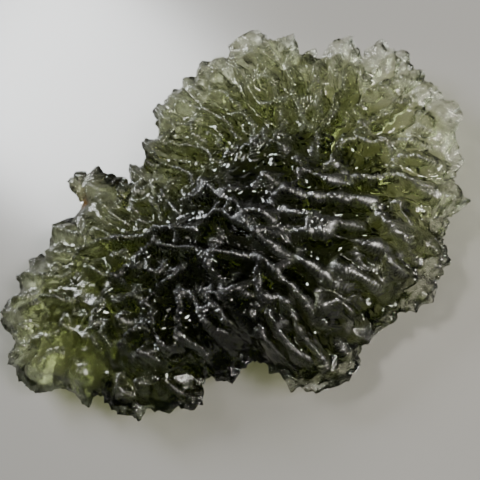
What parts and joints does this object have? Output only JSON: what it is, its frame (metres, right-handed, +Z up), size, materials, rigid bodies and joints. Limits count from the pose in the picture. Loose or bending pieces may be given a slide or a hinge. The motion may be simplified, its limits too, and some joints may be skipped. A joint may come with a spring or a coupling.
{
  "type": "moldavite",
  "caption": "Spiky hedgehog moldavite, a flat two-lobed piece of green natural glass with ridges fanning out from a thick middle to a toothed rim.",
  "frame": {"origin": "middle of the stone's plan, on the surface it rests on", "axes": "+X along the stone's long way from the thin left lobe to the fan-shaped lobe, +Y towards the back where the lone spur is, +Z up"},
  "size_m": [0.0458, 0.0336, 0.0104],
  "materials": {
    "green_glass": "glossy, naturally etched"
  },
  "bodies": {
    "root": {"moldavite": "green_glass"}
  },
  "joints": []
}
